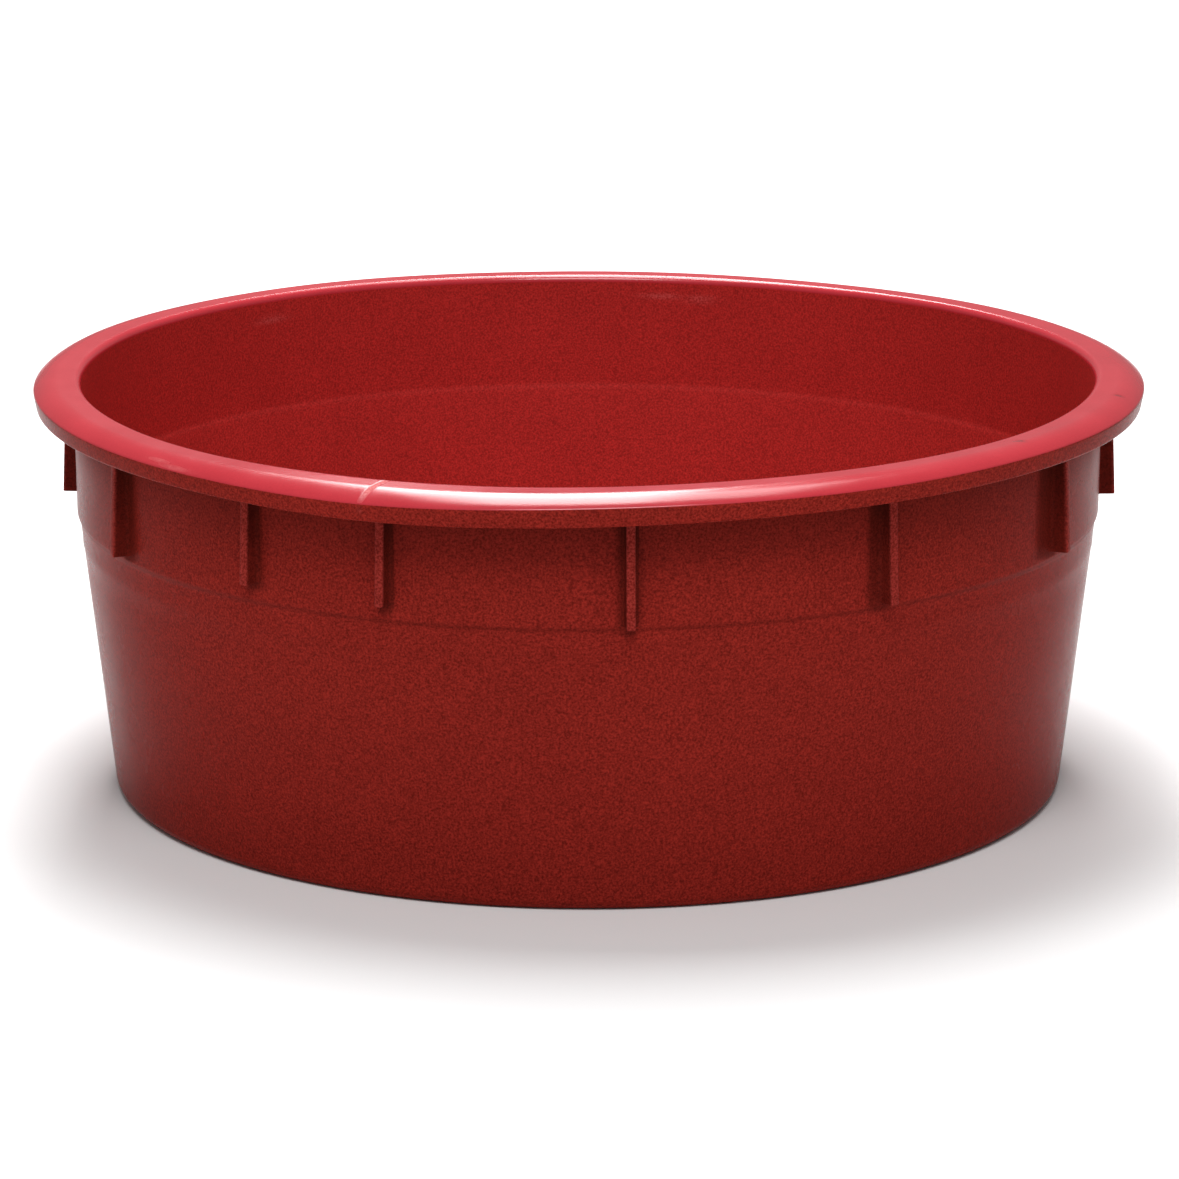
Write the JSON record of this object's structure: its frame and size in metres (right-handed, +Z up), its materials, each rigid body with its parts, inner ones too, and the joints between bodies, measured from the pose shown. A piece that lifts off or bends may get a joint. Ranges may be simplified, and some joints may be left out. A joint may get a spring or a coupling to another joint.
{
  "type": "round mortar mixing tub",
  "caption": "Round, shallow mortar mixing tub with a tapered wall, a wide rim turned down into a lip, and upright gusset ribs under the rim.",
  "frame": {"origin": "centre of the flat underside, on the ground", "axes": "+Z up along the tub's axis; -Y is the side with the rib at 4.3 degrees, and angles go from -Y towards +X"},
  "size_m": [0.656, 0.656, 0.246],
  "materials": {
    "red_plastic": "moulded polyethylene, fine grain, satin on the rim"
  },
  "bodies": {
    "root": {"tub_floor": "red_plastic", "inside_fillet": "red_plastic", "lower_wall": "red_plastic", "upper_wall": "red_plastic", "rim_flange": "red_plastic", "rim_lip": "red_plastic", "rib_01": "red_plastic", "rib_02": "red_plastic", "rib_03": "red_plastic", "rib_04": "red_plastic", "rib_05": "red_plastic", "rib_06": "red_plastic", "rib_07": "red_plastic", "rib_08": "red_plastic", "rib_09": "red_plastic", "rib_10": "red_plastic", "rib_11": "red_plastic", "rib_12": "red_plastic", "rib_13": "red_plastic", "rib_14": "red_plastic"}
  },
  "joints": []
}
